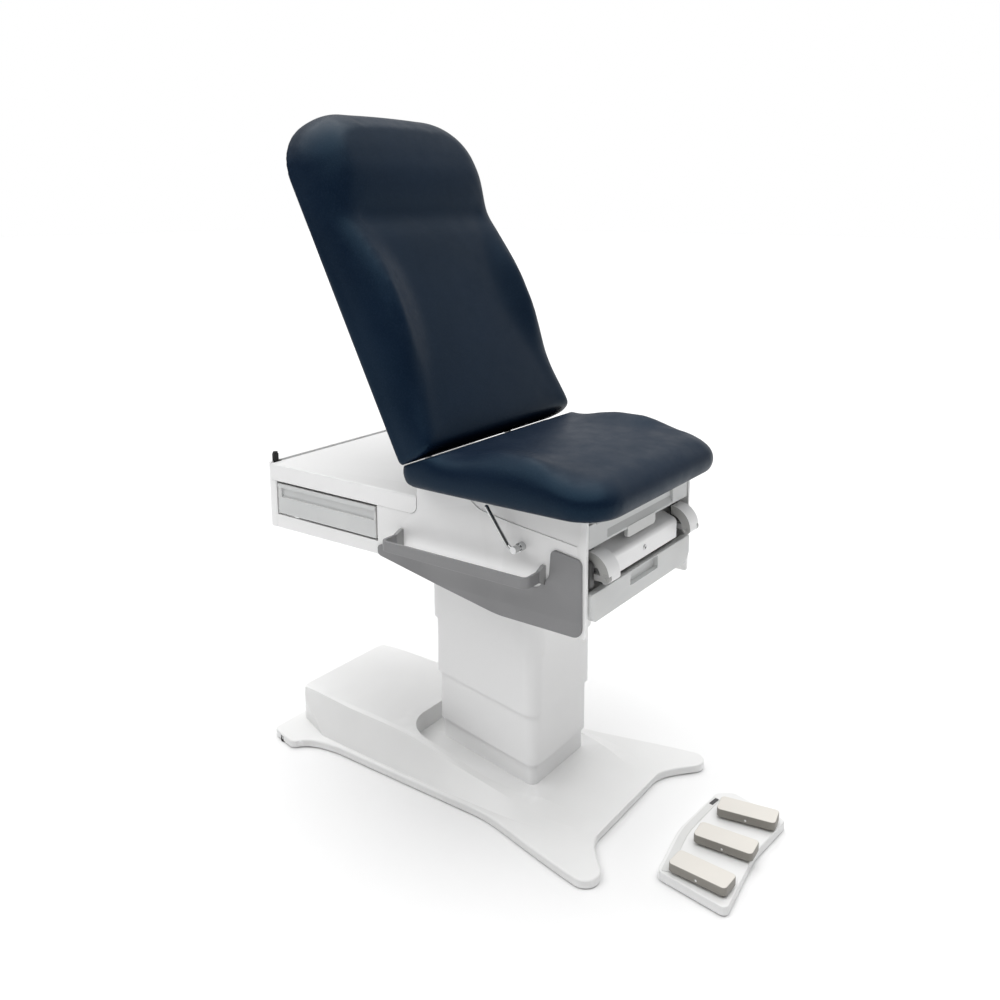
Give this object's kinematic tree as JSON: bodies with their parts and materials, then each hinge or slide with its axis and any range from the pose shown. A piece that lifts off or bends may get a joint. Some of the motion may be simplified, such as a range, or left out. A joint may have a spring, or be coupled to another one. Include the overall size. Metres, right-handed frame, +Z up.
{
  "type": "medical exam table",
  "caption": "Powered exam table: padded seat and tilting back on a box body, telescopic lift column on a low spread base, with drawers, pull-out leg rest, stirrups and a foot control.",
  "frame": {"origin": "on the floor, under the middle of the base", "axes": "+Z up, +Y towards the patient's head, +X to the right of someone who faces the head end"},
  "size_m": [0.676, 1.4094, 1.7814],
  "materials": {
    "white_casing": "smooth moulded plastic, satin gloss",
    "grey_trim": "fine-grained moulded plastic",
    "light_grey_plastic": "fine-grained moulded plastic",
    "vinyl": "soft grained vinyl upholstery",
    "dark_plastic": "moulded plastic",
    "painted_steel": "powder coat",
    "bare_steel": "machined steel",
    "chrome": "polished chrome plate",
    "rubber": "matt rubber",
    "pedal_plastic": "warm white moulded plastic",
    "tray_plastic": "moulded tray plastic"
  },
  "bodies": {
    "base": {"base_cover": "white_casing", "base_frame": "painted_steel", "levelling_feet": "rubber", "control_box": "dark_plastic", "power_inlet": "dark_plastic", "column_bolts": "bare_steel", "column_shroud_4": "white_casing", "lift_tube_1": "bare_steel"},
    "lower_shroud": {"column_shroud_3": "white_casing"},
    "lift_stage_lower": {"column_shroud_2": "white_casing", "lift_tube_2": "bare_steel"},
    "lift_stage_upper": {"column_shroud_1": "white_casing", "lift_tube_3": "bare_steel"},
    "table_body": {"lift_tube_4": "bare_steel", "lift_head_plate": "painted_steel", "upper_frame": "painted_steel", "front_chassis": "painted_steel", "side_panel_left": "white_casing", "side_panel_right": "white_casing", "side_trims": "grey_trim", "grab_rails": "grey_trim", "cabinet_cover": "white_casing", "rear_panel": "white_casing", "cabinet_carcass": "painted_steel", "rest_bumpers": "rubber", "drawer_runners": "painted_steel", "leg_extension_runners": "painted_steel", "seat_pan": "painted_steel", "seat_cushion": "vinyl", "hinge_brackets": "painted_steel", "back_actuator_body": "bare_steel", "stirrup_cover": "white_casing", "front_end_caps": "dark_plastic", "lever_socket": "chrome"},
    "backrest": {"backrest_cushion": "vinyl", "backrest_shell": "dark_plastic", "backrest_frame": "painted_steel", "backrest_crank": "bare_steel", "hinge_shaft": "bare_steel"},
    "actuator_rod": {"back_actuator_rod": "bare_steel"},
    "side_drawer_left": {"side_drawer_left_face": "light_grey_plastic", "side_drawer_left_tray": "tray_plastic"},
    "side_drawer_right": {"side_drawer_right_face": "light_grey_plastic", "side_drawer_right_tray": "tray_plastic"},
    "front_drawer": {"front_drawer_face": "light_grey_plastic", "front_drawer_tray": "tray_plastic"},
    "leg_extension": {"leg_extension_front": "light_grey_plastic", "leg_extension_tray": "painted_steel", "leg_extension_pad": "vinyl"},
    "stirrup_left": {"stirrup_arm_left": "bare_steel"},
    "stirrup_cup_left": {"stirrup_cup_left": "white_casing"},
    "stirrup_right": {"stirrup_arm_right": "bare_steel"},
    "stirrup_cup_right": {"stirrup_cup_right": "white_casing"},
    "lever": {"release_lever": "chrome"},
    "foot_control": {"foot_control_base": "white_casing", "foot_control_strip": "light_grey_plastic", "foot_control_feet": "rubber"},
    "pedal_left": {"pedal_left": "pedal_plastic"},
    "pedal_centre": {"pedal_centre": "pedal_plastic"},
    "pedal_right": {"pedal_right": "pedal_plastic"}
  },
  "joints": [
    {"name": "lift", "type": "slide", "parent": "base", "child": "table_body", "axis": [0, 0, 1], "range_m": [-0.498, 0.02]},
    {"name": "lower_shroud_slide", "type": "slide", "parent": "base", "child": "lower_shroud", "axis": [0, 0, 1], "range_m": [-0.0561, 0.0024]},
    {"name": "lift_stage_lower_slide", "type": "slide", "parent": "base", "child": "lift_stage_lower", "axis": [0, 0, 1], "range_m": [-0.2002, 0.0083]},
    {"name": "lift_stage_upper_slide", "type": "slide", "parent": "base", "child": "lift_stage_upper", "axis": [0, 0, 1], "range_m": [-0.3652, 0.0149]},
    {"name": "backrest_tilt", "type": "hinge", "parent": "table_body", "child": "backrest", "pos_m": [0, -0.0253, 0.8508], "axis": [1, 0, 0], "range_deg": [-63, 5]},
    {"name": "actuator_push", "type": "slide", "parent": "table_body", "child": "actuator_rod", "axis": [0, 1, 0], "range_m": [-0.0508, 0.0041]},
    {"name": "side_drawer_left_slide", "type": "slide", "parent": "table_body", "child": "side_drawer_left", "axis": [-1, 0, 0], "range_m": [0, 0.18]},
    {"name": "side_drawer_right_slide", "type": "slide", "parent": "table_body", "child": "side_drawer_right", "axis": [1, 0, 0], "range_m": [0, 0.18]},
    {"name": "front_drawer_slide", "type": "slide", "parent": "table_body", "child": "front_drawer", "axis": [0, -1, 0], "range_m": [0, 0.17]},
    {"name": "leg_extension_slide", "type": "slide", "parent": "table_body", "child": "leg_extension", "axis": [0, -1, 0], "range_m": [0, 0.3]},
    {"name": "stirrup_left_slide", "type": "slide", "parent": "table_body", "child": "stirrup_left", "axis": [0, -1, 0], "range_m": [0, 0.28]},
    {"name": "stirrup_cup_left_fold", "type": "hinge", "parent": "stirrup_left", "child": "stirrup_cup_left", "pos_m": [-0.204, -0.536, 0.727], "axis": [1, 0, 0], "range_deg": [0, 165]},
    {"name": "stirrup_right_slide", "type": "slide", "parent": "table_body", "child": "stirrup_right", "axis": [0, -1, 0], "range_m": [0, 0.28]},
    {"name": "stirrup_cup_right_fold", "type": "hinge", "parent": "stirrup_right", "child": "stirrup_cup_right", "pos_m": [0.204, -0.536, 0.727], "axis": [1, 0, 0], "range_deg": [0, 165]},
    {"name": "release_lever_turn", "type": "hinge", "parent": "table_body", "child": "lever", "pos_m": [-0.29, -0.33, 0.773], "axis": [1, 0, 0], "range_deg": [-40, 0]},
    {"name": "foot_control_slide", "type": "slide", "parent": "base", "child": "foot_control", "axis": [0, -1, 0], "range_m": [0, 0.25]},
    {"name": "pedal_left_rock", "type": "hinge", "parent": "foot_control", "child": "pedal_left", "pos_m": [-0.157, -0.762, 0.041], "axis": [0.9986, -0.0523, 0], "range_deg": [-4, 4], "stiffness_Nm_per_rad": 2},
    {"name": "pedal_centre_rock", "type": "hinge", "parent": "foot_control", "child": "pedal_centre", "pos_m": [-0.022, -0.762, 0.041], "axis": [0.9976, 0.0698, 0], "range_deg": [-4, 4], "stiffness_Nm_per_rad": 2},
    {"name": "pedal_right_rock", "type": "hinge", "parent": "foot_control", "child": "pedal_right", "pos_m": [0.112, -0.762, 0.041], "axis": [0.9848, 0.1736, 0], "range_deg": [-4, 4], "stiffness_Nm_per_rad": 2}
  ],
  "couplings": [
    {"joint": "lower_shroud_slide", "follows": "lift", "ratio": 0.1124},
    {"joint": "lift_stage_lower_slide", "follows": "lift", "ratio": 0.4016},
    {"joint": "lift_stage_upper_slide", "follows": "lift", "ratio": 0.7329},
    {"joint": "actuator_push", "follows": "backrest_tilt", "m_per_rad": 0.0461}
  ]
}
